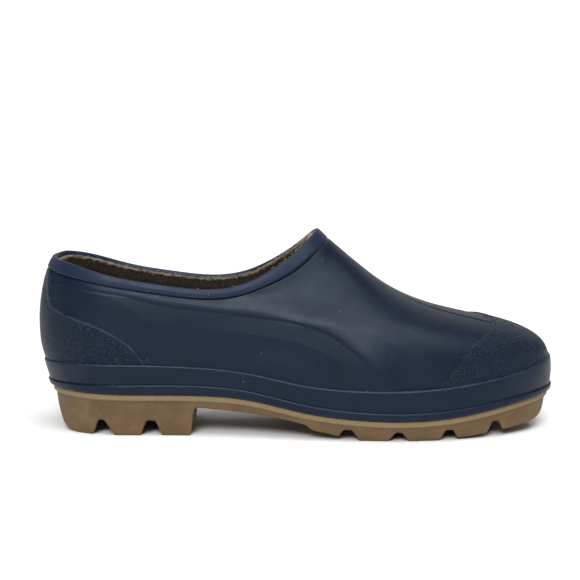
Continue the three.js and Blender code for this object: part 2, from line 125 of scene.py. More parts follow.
def spline(points):
    """A natural cubic spline through (x, y) points, as a function of x, straight beyond its ends."""
    x, y = np.array(points, float).T
    n = len(x)
    h = np.diff(x)
    slope = np.diff(y) / h
    system = np.eye(n)
    kinks = np.zeros(n)
    for i in range(1, n - 1):
        system[i, i - 1 : i + 2] = h[i - 1], 2 * (h[i - 1] + h[i]), h[i]
        kinks[i] = 6 * (slope[i] - slope[i - 1])
    bend = np.linalg.solve(system, kinks)
    first = slope[0] - h[0] * (2 * bend[0] + bend[1]) / 6
    last = slope[-1] + h[-1] * (bend[-2] + 2 * bend[-1]) / 6

    def at(v):
        v = np.asarray(v, float)
        i = np.clip(np.searchsorted(x, v) - 1, 0, n - 2)
        a = (x[i + 1] - v) / h[i]
        b = (v - x[i]) / h[i]
        cubic = ((a**3 - a) * bend[i] + (b**3 - b) * bend[i + 1]) * h[i] ** 2 / 6
        inside = a * y[i] + b * y[i + 1] + cubic
        inside = np.where(v < x[0], y[0] + first * (v - x[0]), inside)
        return np.where(v > x[-1], y[-1] + last * (v - x[-1]), inside)

    return at


def ease(v, low, high):
    k = np.clip((v - low) / (high - low), 0, 1)
    return k * k * (3 - 2 * k)


def mix(a, b, k):
    return a + (b - a) * k


def bump(v, middle, width):
    return np.exp(-(((v - middle) / width) ** 2))


def catmull_rom(a, b, c, d, f):
    """The smooth line from b to c, at share f of the way, with neighbours a and d."""
    square = (2 * a - 5 * b + 4 * c - d) * f**2
    cube = (3 * b - a - 3 * c + d) * f**3
    return 0.5 * (2 * b + (c - a) * f + square + cube)


# Heights of the sole's edge and of the collar, and the heights of the bands along them, against x.
sole_line = spline(
    [(-140, 25.3), (-95, 23.8), (-52, 23.5), (-25, 21.6), (6, 15.5), (35, 12.4), (56, 11.7), (92, 13.9),
     (131, 20.1), (146, 22)]
)
welt_height = spline([(-140, 3.2), (-118, 4.6), (0, 4.8), (100, 4.2), (145, 3.3)])
foxing_height = spline(
    [(-142, 14.4), (-110, 16.8), (-25, 15.2), (60, 17), (110, 17), (130, 17.4), (145, 20)]
)
collar_line = spline(
    [(-140, 97.4), (-127, 95.2), (-104, 88.9), (-71, 82.8), (-45, 80.8), (-25, 84.7), (-9, 93),
     (4, 102.6), (13, 111.2), (30, 124), (60, 131), (146, 138)]
)
band_depth = spline(
    [(-140, 5.6), (-126, 5.9), (-109, 4.8), (-91, 3.9), (-52, 3.7), (-33, 3.9), (-16, 5), (0, 7.3),
     (13, 8.8), (40, 8.8)]
)

# The middle line in side view, (x, z), up the heel to the collar and up the toe and vamp to the throat.
HEEL_PROFILE = [
    (-135.3, 22), (-137.6, 30), (-140.2, 39), (-142.6, 47), (-143.6, 56), (-143.6, 66), (-142.5, 76),
    (-140.9, 84), (-138.6, 91), (-135.4, 97.4),
]
TOE_PROFILE = [
    (144, 20), (145, 30), (145, 37.2), (143.6, 44.4), (138.8, 50.5), (130, 55.4), (118, 59.5),
    (100, 64.2), (82, 68.6), (65, 74.6), (48, 83.6), (31, 96.2), (20, 106), (13, 111.6),
]
# Half widths at each WIDTH_X, in rows from the sole's edge to the collar.
WIDTH_X = (-140, -100, -50, 0, 50, 100, 145)
OUTER_WIDTHS = (
    (32, 34.5, 35.5, 43, 50, 48.5, 45),
    (34, 36.5, 37, 43.5, 49.5, 48, 45),
    (34.5, 37, 37, 40, 44, 44, 42),
    (33.5, 35.5, 35.5, 36, 38, 38, 38),
    (32, 33, 33.5, 33, 34, 34, 34),
)
INNER_WIDTHS = (
    (32, 33, 29.5, 35, 44.5, 45, 42),
    (34, 35.5, 32.5, 37, 45, 45, 42),
    (34.5, 36, 34, 37, 41, 41, 40),
    (33.5, 35, 34, 35, 37, 37, 37),
    (32, 33, 33, 33, 34, 34, 34),
)
HEEL_ROUND = 44
TOE_ROUND = 78
THROAT_ROUND = 46
ROUND_POWER = 2.2  # the ends are rounded in plan over these lengths, by superellipses of this power
WIDTH_CURVES = [
    [spline(list(zip(WIDTH_X, row))) for row in rows] for rows in (OUTER_WIDTHS, INNER_WIDTHS)
]


# ---------- the surface of the upper ----------


def collar_height(x, inner):
    along = np.clip((x - COLLAR_REAR_X) / (COLLAR_FRONT_X - COLLAR_REAR_X), 0, 1)
    at_heel = ease(x, -136.5, -131) * (1 - ease(x, -122, -84))
    inner_rise = MEDIAL_RISE * np.sin(np.pi * along) ** 2 + INNER_HEEL_RISE * at_heel
    return collar_line(x) + np.where(inner, inner_rise, -OUTER_HEEL_DROP * at_heel)


def profile_crossing(profile):
    """x where the middle line of the heel or of the vamp stands at level t, as a function of t."""
    steps = np.arange(len(profile))
    x_at, z_at = (spline(list(zip(steps, values))) for values in zip(*profile))
    levels = np.linspace(-0.05, 1.05, 2201)
    low = np.zeros_like(levels)
    high = np.full_like(levels, len(profile) - 1.0)
    for _ in range(30):
        u = (low + high) / 2
        x = x_at(u)
        below = (z_at(u) - sole_line(x)) / (collar_line(x) - sole_line(x)) < levels
        low = np.where(below, u, low)
        high = np.where(below, high, u)
    found = x_at(low)
    return lambda t: np.interp(t, levels, found)


heel_x = profile_crossing(HEEL_PROFILE)
toe_x = profile_crossing(TOE_PROFILE)


def through_rows(values, t):
    """Catmull-Rom through five evenly spaced rows of values."""
    k = np.clip(t, 0, 1) * 4
    i = np.minimum(3, np.floor(k).astype(int))
    f = k - i
    rows = np.stack(values)
    a, b, c, d = (np.take_along_axis(rows, np.clip(i + j, 0, 4)[None], 0)[0] for j in (-1, 0, 1, 2))
    return catmull_rom(a, b, c, d, f)


def rounded(u):
    return (1 - np.clip(u, 0, 1) ** ROUND_POWER) ** (1 / ROUND_POWER)


def inner_side(s):
    turn = s - np.floor(s)
    return ~((turn > 0) & (turn < 0.5))


def surface(s, t):
    s, t = np.broadcast_arrays(np.asarray(s, float), np.asarray(t, float))
    inner = inner_side(s)
    rear, front = heel_x(t), toe_x(t)
    x = mix(rear, front, (1 - np.cos(2 * np.pi * s)) / 2)
    widths = [through_rows([curve(x) for curve in curves], t) for curves in WIDTH_CURVES]
    front_round = mix(TOE_ROUND, THROAT_ROUND, np.clip(t, 0, 1))
    half = np.where(inner, widths[1], widths[0])
    half = half * rounded((rear + HEEL_ROUND - x) / HEEL_ROUND)
    half = half * rounded((x - front + front_round) / front_round)
    z = mix(sole_line(x), collar_height(x, inner), t)
    return np.stack([x, np.where(inner, 1, -1) * half + TOE_SHIFT * ease(x, 40, 145), z], -1)


def unit(v):
    return v / np.maximum(np.linalg.norm(v, axis=-1, keepdims=True), 1e-12)


NUDGE = 1e-3


def frame_at(s, t):
    """The outward normal at (s, t), and the direction that climbs to the collar."""
    along = surface(s + NUDGE, t) - surface(s - NUDGE, t)
    up = surface(s, np.minimum(1, t + NUDGE)) - surface(s, np.maximum(0, t - NUDGE))
    return unit(np.cross(along, up)), unit(up)


def off_surface(s, t, out, climb=0.0):
    normal, up = frame_at(s, t)
    return surface(s, t) + normal * np.asarray(out)[..., None] + up * np.asarray(climb)[..., None]


def flat_normal(s, t):
    normal, _ = frame_at(s, t)
    return unit(normal * (1, 1, 0))


def off_level(s, t, out):
    """Off the surface, but straight out level with the ground."""
    return surface(s, t) + flat_normal(s, t) * np.asarray(out)[..., None]


def level_of(s, height_at):
    """t at which the surface, at s, has the height that height_at(x, inner) gives."""
    inner = inner_side(s)
    t = np.full(np.shape(s), 0.2)
    for _ in range(10):
        x = surface(s, t)[..., 0]
        whole = collar_height(x, inner) - sole_line(x)
        t = np.clip((height_at(x, inner) - sole_line(x)) / whole, 0, 1)
    return t


def above_sole(s, height):
    return level_of(s, lambda x, inner: sole_line(x) + height)


def welt_level(s, more=0.0):
    return level_of(s, lambda x, inner: sole_line(x) + welt_height(x) + more)


def foxing_level(s, more=0.0):
    return level_of(s, lambda x, inner: sole_line(x) + foxing_height(x) + more)


def band_level(s, more=0.0):
    return level_of(s, lambda x, inner: collar_height(x, inner) - band_depth(x) + more)


def drop_level(s, drop):
    return level_of(s, lambda x, inner: collar_height(x, inner) - drop)


# ---------- noise ----------


def lattice_noise(points, size, seed):
    """Smooth noise from -1 to 1 over points, with bumps about size apart."""
    table = np.random.default_rng(seed).uniform(-1, 1, 4096)
    cell = points / size
    corner = np.floor(cell).astype(np.int64)
    f = cell - corner
    f = f * f * (3 - 2 * f)
    total = np.zeros(points.shape[:-1])
    for dx in (0, 1):
        for dy in (0, 1):
            for dz in (0, 1):
                i = corner + (dx, dy, dz)
                key = (i[..., 0] * 73856093 ^ i[..., 1] * 19349663 ^ i[..., 2] * 83492791) & 4095
                weight = np.abs(1 - np.array([dx, dy, dz]) - f).prod(-1)
                total += table[key] * weight
    return total


def leather(points, slant, size, seed):
    """Short wrinkles that run along slant, with fine pebbles between them, from about -1 to 1."""
    along = points @ np.array(slant)
    stretched = points - 0.62 * along[..., None] * np.array(slant)
    warp = np.stack([lattice_noise(points, 5 * size, seed + k) for k in range(3)], -1)
    wrinkles = 1 - 2 * np.abs(lattice_noise(stretched + 0.7 * size * warp, size, seed + 3))
    return 0.65 * wrinkles + 0.35 * lattice_noise(points, 0.7 * size, seed + 4)


# ---------- meshes ----------


def add_object(name, data):
    piece = bpy.data.objects.new(name, data)
    bpy.context.scene.collection.objects.link(piece)
    return piece


def add_mesh(name, points, faces, material, attributes=None):
    """A closed mesh from points in millimetres, in the design frame, with its faces turned outwards."""
    points = np.asarray(points, float)
    faces = np.asarray(faces)
    corners = points[faces]
    middle = points.mean(0)
    first = corners[:, 0] - middle
    volume = sum(
        np.einsum("ij,ij->", first, np.cross(corners[:, k] - middle, corners[:, k + 1] - middle))
        for k in range(1, faces.shape[1] - 1)
    )
    if volume < 0:
        faces = faces[:, ::-1]
    mesh = bpy.data.meshes.new(name)
    mesh.from_pydata(((points + SHIFT) * MM).tolist(), [], faces.tolist())
    mesh.polygons.foreach_set("use_smooth", [True] * len(mesh.polygons))
    for key, values in (attributes or {}).items():
        attribute = mesh.attributes.new(key, "FLOAT", "POINT")
        attribute.data.foreach_set("value", np.asarray(values, np.float32).ravel())
    mesh.validate()
    mesh.materials.append(material)
    return add_object(name, mesh)


def quads(rows, columns, close_rows=False, close_columns=False, first=0):
    """The faces of a grid of points, stored row by row."""
    i = np.arange(rows if close_rows else rows - 1)[:, None]
    j = np.arange(columns if close_columns else columns - 1)[None, :]
    i, j = np.broadcast_arrays(i, j)
    above, beside = (i + 1) % rows, (j + 1) % columns
    corner = [i * columns + j, i * columns + beside, above * columns + beside, above * columns + j]
    return np.stack(corner, -1).reshape(-1, 4) + first


def ring_piece(name, loops, material, attributes=None):
    """A ring-shaped piece, from loops that go once round its section."""
    loops = np.stack(loops)
    faces = quads(loops.shape[0], loops.shape[1], close_rows=True, close_columns=True)
    return add_mesh(name, loops.reshape(-1, 3), faces, material, attributes)


def slab_piece(name, outer, inner, keep, material, attributes=None):
    """A closed sheet between two grids of points, on the cells that keep marks."""
    rows, columns = outer.shape[:2]
    count = rows * columns
    cells = quads(rows, columns).reshape(rows - 1, columns - 1, 4)
    padded = np.pad(keep, 1)
    walls = []
    for (di, dj), (p, q) in {(-1, 0): (0, 1), (0, 1): (1, 2), (1, 0): (2, 3), (0, -1): (3, 0)}.items():
        beside = padded[1 + di : rows + di, 1 + dj : columns + dj]
        edge = cells[keep & ~beside]
        walls.append(np.stack([edge[:, q], edge[:, p], edge[:, p] + count, edge[:, q] + count], -1))
    kept = cells[keep]
    faces = np.concatenate([kept, kept[:, ::-1] + count, *walls])
    used = np.unique(faces)
    renumber = np.zeros(2 * count, int)
    renumber[used] = np.arange(len(used))
    points = np.concatenate([outer.reshape(-1, 3), inner.reshape(-1, 3)])[used]
    both = {k: np.concatenate([v.ravel(), v.ravel()])[used] for k, v in (attributes or {}).items()}
    return add_mesh(name, points, renumber[faces], material, both)


def stations(count):
    """x from the heel to the toe at the sole's edge, in steps that shrink towards both ends."""
    return mix(heel_x(0), toe_x(0), (1 - np.cos(np.linspace(0, math.pi, count))) / 2)


def half_ring(x):
    """s round the whole shoe, at the sole's edge, for stations at x on either side."""
    rear, front = heel_x(0), toe_x(0)
    half = np.arccos(np.clip(1 - 2 * (x - rear) / (front - rear), -1, 1)) / (2 * np.pi)
    return np.concatenate([half, 1 - half[-2:0:-1]])


def plan_point(s, out, height):
    """A point out from the sole's edge across the ground plane, at a height above sole_line."""
    p = off_level(s, np.zeros_like(s), out)
    p[..., 2] = sole_line(p[..., 0]) + height
    return p


def block(loops, across, top, bottom):
    """Points and faces of a block: loops round its side from the bottom up, closed above and below by
    columns straight across, at the shares that across(outer, inner) gives, at heights top and bottom."""
    around = loops[0].shape[0]
    slices = around // 2 + 1
    points = [np.concatenate(loops)]
    faces = [quads(len(loops), around, close_columns=True)]
    start = len(points[0])
    for ring, (loop, height) in {0: (loops[0], bottom), len(loops) - 1: (loops[-1], top)}.items():
        outer = np.arange(slices)
        inner = (around - outer) % around
        shares = across(loop[outer, 1], loop[inner, 1])
        middle = mix(loop[outer][:, None], loop[inner][:, None], shares[..., None])
        middle[..., 2] = height(middle)
        index = np.empty((slices, shares.shape[1] + 2), int)
        index[:, 0] = outer + ring * around
        index[:, -1] = inner + ring * around
        index[:, 1:-1] = start + np.arange(middle[..., 0].size).reshape(slices, -1)
        index[0] = ring * around
        index[-1] = slices - 1 + ring * around
        a, b, c, d = index[:-1, :-1], index[1:, :-1], index[1:, 1:], index[:-1, 1:]
        cap = np.stack([a, b, c, d], -1).reshape(-1, 4)
        faces.append(cap if ring else cap[:, ::-1])
        points.append(middle.reshape(-1, 3))
        start += middle[..., 0].size
    return np.concatenate(points), np.concatenate(faces)


# ---------- edges of the overlays ----------


def traced(points, count):
    """A Catmull-Rom line through points."""
    p = np.array(points, float)
    p = np.concatenate([[2 * p[0] - p[1]], p, [2 * p[-1] - p[-2]]])
    u = np.linspace(0, len(points) - 1, count)
    i = np.minimum(u.astype(int), len(points) - 2)
    f = (u - i)[:, None]
    return catmull_rom(p[i], p[i + 1], p[i + 2], p[i + 3], f)


def distance_to(line, points):
    best = np.full(points.shape[:-1], 1e9)
    for a, b in zip(line[:-1], line[1:]):
        ab = b - a
        k = np.clip(((points - a) @ ab) / (ab @ ab), 0, 1)
        best = np.minimum(best, np.linalg.norm(points - a - k[..., None] * ab, axis=-1))
    return best


def within(outline, points):
    inside = np.zeros(points.shape[:-1], bool)
    x, z = points[..., 0], points[..., 1]
    for (ax, az), (bx, bz) in zip(outline, np.roll(outline, -1, 0)):
        crosses = (az > z) != (bz > z)
        at = ax + (z - az) * (bx - ax) / (bz - az if bz != az else 1e-9)
        inside ^= crosses & (x < at)
    return inside


def inside_by(line, corners, p):
    """How far inside an outline in side view points lie; the outline is a line closed by corners."""
    points = p[..., [0, 2]]
    distance = distance_to(line, points)
    return np.where(within(np.concatenate([line, corners]), points), distance, -distance)


# The edges of the overlays in side view, (x, z).
CAP_SIDE_EDGE = traced(
    [(68, 8), (72, 20), (78.5, 30.2), (85.8, 38.5), (93.8, 48), (102.6, 55.4), (110, 60.4)],
    60,
)
COUNTER_EDGE = traced(
    [(-75, 24), (-78, 34), (-82, 42), (-89, 51), (-96, 56.2), (-107, 62), (-119, 66), (-129.6, 69.8),
     (-133.6, 72.8), (-135.3, 78), (-135.6, 88), (-134.7, 105)],
    110,
)
PANEL_EDGE = traced(
    [(-150, 84), (-127, 83.4), (-99, 79.8), (-63, 74), (-18, 68.8), (3, 65.6), (20, 60.2), (31, 52.8),
     (41, 44.5), (46, 36.5), (51, 20)],
    110,
)
# Over the top of the toe the cap's edge is an arch in plan, which falls back from its tip to both sides.
CAP_TIP_X, CAP_TIP_Y = 112.2, -11
CAP_INNER_STRETCH = 0.7
CAP_ARCH, CAP_ARCH_POWER = 0.0212, 1.95


def cap_inside(p):
    """How far inside the toe cap's edge points lie."""
    inward = p[..., 1] - CAP_TIP_Y
    away = np.where(inward < 0, -inward, inward * CAP_INNER_STRETCH)
    arch = CAP_TIP_X - CAP_ARCH * away**CAP_ARCH_POWER
    slope = CAP_ARCH * CAP_ARCH_POWER * away ** (CAP_ARCH_POWER - 1)
    on_top = (p[..., 0] - arch) / np.sqrt(1 + slope**2)
    on_side = inside_by(CAP_SIDE_EDGE, [(170, 60.4), (170, 8)], p)
    steep = ease(p[..., 2], 46, 54)
    return mix(np.maximum(on_side, on_top), on_top, steep)


def counter_inside(p):
    return inside_by(COUNTER_EDGE, [(-170, 105), (-170, 24)], p)


def panel_inside(p):
    return inside_by(PANEL_EDGE, [(-150, 20)], p)


# ---------- materials ----------


def colour(r, g, b):
    """An sRGB colour, 0 to 255, as linear values."""
    values = np.array([r, g, b]) / 255
    linear = np.where(values <= 0.04045, values / 12.92, ((values + 0.055) / 1.055) ** 2.4)
    return (*linear.tolist(), 1)


class Nodes:
    """The node tree of a new material or world, with a short call for each kind of node it uses."""

    def __init__(self, owner):
        owner.use_nodes = True
        self.owner = owner
        self.tree = owner.node_tree

    def feed(self, socket, value):
        """Link a socket to another node's output, or set it to a plain value."""
        if isinstance(value, bpy.types.NodeSocket):
            self.tree.links.new(value, socket)
        else:
            socket.default_value = value

    def node(self, kind, inputs=None):
        node = self.tree.nodes.new("ShaderNode" + kind)
        for key, value in (inputs or {}).items():
            self.feed(node.inputs[key], value)
        return node

    def mapped(self, vector, inputs):
        return self.node("Mapping", {"Vector": vector, **inputs}).outputs["Vector"]

    def finish(self, inputs, shader="Principled BSDF"):
        """Feed the shader that the tree came with, and hand back the material or world."""
        for key, value in inputs.items():
            self.feed(self.tree.nodes[shader].inputs[key], value)
        return self.owner

    def coordinates(self, scale=(1, 1, 1)):
        """Object coordinates in millimetres, stretched by scale."""
        return self.mapped(self.node("TexCoord").outputs["Object"], {"Scale": [k / MM for k in scale]})

    def noise(self, vector, size, detail=2.0, roughness=0.5):
        inputs = {"Vector": vector, "Scale": 1 / size, "Detail": detail, "Roughness": roughness}
        return self.node("TexNoise", inputs).outputs["Fac"]

    def attribute(self, name):
        node = self.node("Attribute")
        node.attribute_name = name
        return node.outputs["Fac"]

    def ramp(self, value, stops):
        """A colour ramp through (place, colour or grey) stops."""
        node = self.node("ValToRGB", {"Fac": value})
        elements = node.color_ramp.elements
        while len(elements) < len(stops):
            elements.new(0.5)
        for element, (place, shade) in zip(elements, stops):
            element.position = place
            element.color = shade if isinstance(shade, tuple) else (shade, shade, shade, 1)
        return node.outputs["Color"]

    def span(self, value, low, high, to_low=0.0, to_high=1.0):
        """Carry a value over from low..high to to_low..to_high, and stop at both ends."""
        inputs = {"Value": value, "From Min": low, "From Max": high, "To Min": to_low, "To Max": to_high}
        return self.node("MapRange", inputs).outputs["Result"]

    def math(self, operation, a, b=0.0):
        node = self.node("Math")
        node.operation = operation
        for socket, value in zip(node.inputs, (a, b)):
            self.feed(socket, value)
        return node.outputs["Value"]

    def times(self, a, b):
        return self.math("MULTIPLY", a, b)

    def blend(self, factor, a, b, mode="MIX"):
        node = self.node("Mix")
        node.data_type = "RGBA"
        node.blend_type = mode
        sockets = {s.identifier: s for s in node.inputs}
        for key, value in {"Factor_Float": factor, "A_Color": a, "B_Color": b}.items():
            self.feed(sockets[key], value)
        return next(s for s in node.outputs if s.identifier == "Result_Color")

    def shade(self, base, value, stops):
        """Darken or lighten a colour by a ramp of greys."""
        return self.blend(1.0, base, self.ramp(value, stops), "MULTIPLY")

    def bump(self, height, distance, strength=1.0, before=None):
        """A normal moved by a height map whose full height is distance, in millimetres."""
        inputs = {"Height": height, "Distance": distance * MM, "Strength": strength}
        if before is not None:
            inputs["Normal"] = before
        return self.node("Bump", inputs).outputs["Normal"]


def new_look(name):
    """The nodes of a new material, and its coordinates in millimetres."""
    look = Nodes(bpy.data.materials.new(name))
    return look, look.coordinates()


NAVY_DEEP = colour(7, 18, 35)
NAVY = colour(10, 23, 43)
# painted highlight: a paler navy mixed over the whole collar binding
BINDING_PAINTED_HIGHLIGHT = colour(34, 46, 68)
# painted highlight: the glints on the grain and the light along raised edges
NAVY_PAINTED_HIGHLIGHT = colour(60, 72, 94)
STREAK = colour(66, 70, 80)
HAIRLINE = colour(120, 109, 96)
DUST = colour(150, 152, 155)
NAVY_GLOSS_TINT = (0.84, 0.92, 1.0, 1)
TAN_STAINED = colour(81, 63, 41)
TAN = colour(97, 76, 48)
TAN_CLEAN = colour(111, 90, 61)
TAN_LIP = colour(132, 113, 81)
FLEECE_STOPS = [
    (0.36, colour(14, 13, 12)), (0.54, colour(31, 27, 23)), (0.68, colour(58, 50, 40)),
    (0.82, colour(104, 92, 74)),
]
FLEECE_EDGE = colour(156, 140, 114)
FLEECE_WORN = colour(128, 120, 108)
FLEECE_SHEEN = colour(150, 130, 104)
DULL_CLOTH = {"Roughness": 0.95, "Specular IOR Level": 0.15}
FELT_STOPS = [(0.3, colour(34, 31, 28)), (0.55, colour(58, 53, 47)), (0.8, colour(98, 91, 81))]


def navy_rubber(name, grain_angle=None, streaks=0.0, lighter=0.0, hairline=False, edge_painted_highlight=0.0):
    """Satin navy rubber with a faint bloom and specks of dust. Some pieces add a grain along an angle,
    whose lighter dashes are painted glints, streaks at the shoe's ends, a pale hairline along the cap's
    edge, a painted highlight along their raised edges, or a painted highlight that lightens them all over."""
    look, where = new_look(name)
    cloud = look.noise(where, 26, detail=4, roughness=0.6)
    fine = look.noise(where, 1.1, detail=3, roughness=0.7)
    base = look.shade(look.ramp(cloud, [(0.3, NAVY_DEEP), (0.75, NAVY)]), fine, [(0.3, 0.8), (0.72, 1.18)])
    normal = look.bump(fine, 0.05, 0.35)
    normal = look.bump(look.noise(where, 1.2), 0.07, 0.9, normal)
    # lighter mixes the whole piece towards a paler navy: a painted highlight
    if lighter:
        base = look.blend(lighter, base, BINDING_PAINTED_HIGHLIGHT)
    if streaks:
        lines = look.noise(look.coordinates((0.05, 0.05, 1)), 0.7, detail=3, roughness=0.7)
        shown = look.times(look.times(look.span(lines, 0.46, 0.68), look.attribute("ends")), streaks)
        base = look.blend(shown, base, STREAK)
        normal = look.bump(shown, 0.08, 0.6, normal)
    if grain_angle is not None:
        turned = look.mapped(where, {"Rotation": (0, math.radians(grain_angle), 0)})
        dashes = look.noise(look.mapped(turned, {"Scale": (0.42, 0.8, 1)}), 0.7, roughness=0.6)
        # the grain's lighter dashes are painted glints
        base = look.blend(look.span(dashes, 0.54, 0.7, 0.0, 0.32), base, NAVY_PAINTED_HIGHLIGHT)
        normal = look.bump(look.span(dashes, 0.42, 0.62), 0.34, 1.0, normal)
    # a painted highlight: paler navy in patches along raised edges
    if edge_painted_highlight:
        patches = look.span(look.noise(where, 6, detail=3), 0.35, 0.6, 0.35, 1.0)
        wear_and_painted_highlight = look.times(look.attribute("edge_painted_highlight"), edge_painted_highlight)
        base = look.blend(look.times(wear_and_painted_highlight, patches), base, NAVY_PAINTED_HIGHLIGHT)
    if hairline:
        away = look.math("ABSOLUTE", look.math("SUBTRACT", look.attribute("inside"), 0.15))
        near = look.span(away, 0.05, 0.3, 1.0, 0.0)
        broken = look.span(look.noise(where, 5), 0.4, 0.6)
        high = look.span(look.attribute("rise"), 40, 58, 0.1, 0.6)
        base = look.blend(look.times(look.times(near, broken), high), base, HAIRLINE)
    specks = look.node("TexVoronoi", {"Vector": where, "Scale": 1 / 4.8})
    chosen = look.node("SeparateColor", {"Color": specks.outputs["Color"]})
    small = look.span(specks.outputs["Distance"], 0.035, 0.06, 1.0, 0.0)
    few = look.span(chosen.outputs["Red"], 0.83, 0.85, 0.0, 0.65)
    base = look.blend(look.times(small, few), base, DUST)
    rough = look.span(look.noise(where, 9, detail=5), 0.3, 0.7, 0.39, 0.47)
    return look.finish({
        "Base Color": base, "Normal": normal, "Roughness": rough, "Specular IOR Level": 0.23,
        "Specular Tint": NAVY_GLOSS_TINT,
    })


def tan_rubber(name):
    """Matt crepe-coloured sole rubber, with soft stains and a lighter lip."""
    look, where = new_look(name)
    cloud = look.noise(where, 14, detail=5, roughness=0.65)
    stains = look.noise(where, 2.4, detail=4, roughness=0.75)
    base = look.ramp(cloud, [(0.3, TAN_STAINED), (0.55, TAN), (0.78, TAN_CLEAN)])
    base = look.blend(look.times(look.span(look.attribute("lip"), 0.2, 0.9), 0.8), base, TAN_LIP)
    base = look.shade(base, stains, [(0.3, 0.8), (0.48, 1.0)])
    normal = look.bump(look.noise(where, 0.5), 0.05, 0.5, look.bump(stains, 0.09, 0.4))
    rough = look.span(stains, 0.3, 0.7, 0.5, 0.66)
    return look.finish({
        "Base Color": base, "Normal": normal, "Roughness": rough, "Specular IOR Level": 0.35,
    })


def fleece(name):
    """Dark brushed lining, speckled, with a tan edge and a pale threadbare patch at the throat."""
    look, where = new_look(name)
    speck = look.noise(where, 0.9, detail=4, roughness=0.8)
    ragged = look.math("ADD", look.attribute("below_edge"), look.span(speck, 0.3, 0.7, -0.6, 0.6))
    near = look.span(ragged, 0.1, 0.9, 1.0, 0.0)
    tufts = look.span(look.noise(where, 2.2, detail=3), 0.4, 0.56, 0.25, 1.0)
    base = look.blend(look.times(near, tufts), look.ramp(speck, FLEECE_STOPS), FLEECE_EDGE)
    base = look.blend(look.times(look.attribute("throat"), 0.8), base, FLEECE_WORN)
    return look.finish({
        **DULL_CLOTH, "Base Color": base, "Normal": look.bump(speck, 0.5, 0.8),
        "Sheen Weight": 0.25, "Sheen Roughness": 0.6, "Sheen Tint": FLEECE_SHEEN,
    })


def thread(name):
    look, where = new_look(name)
    shades = [(0.35, colour(128, 112, 88)), (0.65, colour(190, 174, 146))]
    base = look.ramp(look.noise(where, 3, detail=3), shades)
    return look.finish({"Base Color": base, "Roughness": 0.9, "Sheen Weight": 0.3})


def felt(name):
    """The footbed's grey-brown needled felt."""
    look, where = new_look(name)
    fibres = look.noise(look.coordinates((0.35, 1, 1)), 0.5, detail=5, roughness=0.8)
    cloud = look.noise(where, 18, detail=3)
    base = look.shade(look.ramp(fibres, FELT_STOPS), cloud, [(0.3, 0.75), (0.7, 1.1)])
    return look.finish({
        **DULL_CLOTH, "Base Color": base, "Normal": look.bump(fibres, 0.35, 0.8),
        "Sheen Weight": 0.3, "Sheen Roughness": 0.5,
    })


def board(name, dark, light, size, bump_height):
    """Pressed board or cork: grains of two shades."""
    look, where = new_look(name)
    grains = look.noise(where, size, detail=4, roughness=0.7)
    base = look.ramp(grains, [(0.35, colour(*dark)), (0.65, colour(*light))])
    normal = look.bump(grains, bump_height, 0.6)
    return look.finish({"Base Color": base, "Normal": normal, "Roughness": 0.85})


def spring_steel(name):
    look = Nodes(bpy.data.materials.new(name))
    lines = look.noise(look.coordinates((0.04, 1, 1)), 0.6, detail=4)
    base = look.ramp(lines, [(0.3, colour(120, 123, 128)), (0.7, colour(168, 171, 176))])
    rough = look.span(lines, 0.3, 0.7, 0.28, 0.42)
    return look.finish({"Base Color": base, "Roughness": rough, "Metallic": 1})


# ---------- the upper ----------


crease_line = spline([(40, -7.5), (77, -11), (95, -12.4), (112, -10.5)])  # y of the crease behind the cap
CREASE_S = 0.4705  # the stations are crowded near here, where the crease runs
CREASE_REACH = 0.018
SHOULDER = 1.75  # how far the quarters stand out just above the side panels
VAMP_CREST = TOE_PROFILE[-2:-6:-1]  # the middle line from the throat to the crease, with x rising
RIM_CORE = -1.0  # the shell is thinner inside the collar binding


def under_band(s, t):
    """How far below the collar binding's lower edge the surface is, in millimetres."""
    edge = surface(s[:1], band_level(s[:1]))[..., 2]
    return edge - surface(s, t)[..., 2]


def band_groove(below):
    """Depth of the line pressed in along the binding's lower edge."""
    return 0.45 * bump(below, 0.15, 0.36)


def shoulder(p):
    """The quarters stand out a little just above the side panels, and fall back towards the collar."""
    above = -panel_inside(p)
    reach = mix(8, 14, ease(p[..., 0], -45, 5))
    clear_of_counter = 1 - ease(counter_inside(p), -30, -2)
    return SHOULDER * (1 - ease(above / reach, 0, 1)) * ease(above, -6, -1) * clear_of_counter


